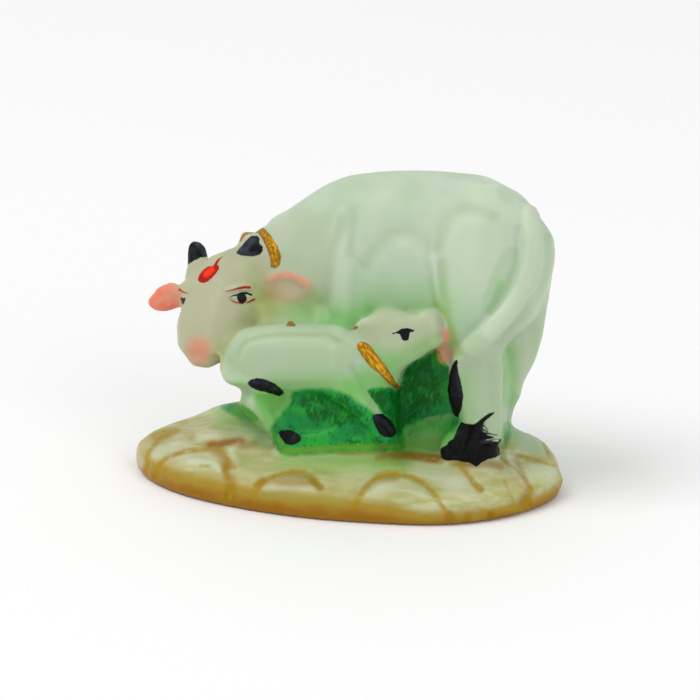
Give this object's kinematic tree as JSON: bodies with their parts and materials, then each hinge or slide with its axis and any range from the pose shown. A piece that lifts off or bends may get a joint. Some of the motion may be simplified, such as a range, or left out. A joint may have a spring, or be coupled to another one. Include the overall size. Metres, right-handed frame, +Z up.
{
  "type": "kamdhenu cow statue",
  "caption": "Small cast resin figure of a standing cow turning her head back to her suckling calf, on a low rocky oval base; a shelf or altar ornament.",
  "frame": {"origin": "middle of the flat underside of the base", "axes": "+X towards the cow's rump, along the longest side; +Z up; the cow looks and the calf stands towards -Y"},
  "size_m": [0.0746, 0.0417, 0.0543],
  "materials": {
    "painted_resin": "milky pale green translucent cast resin, airbrushed green and ochre, with brushed black, red, pink and gold details"
  },
  "bodies": {
    "root": {"cow_and_calf_statue": "painted_resin"}
  },
  "joints": []
}
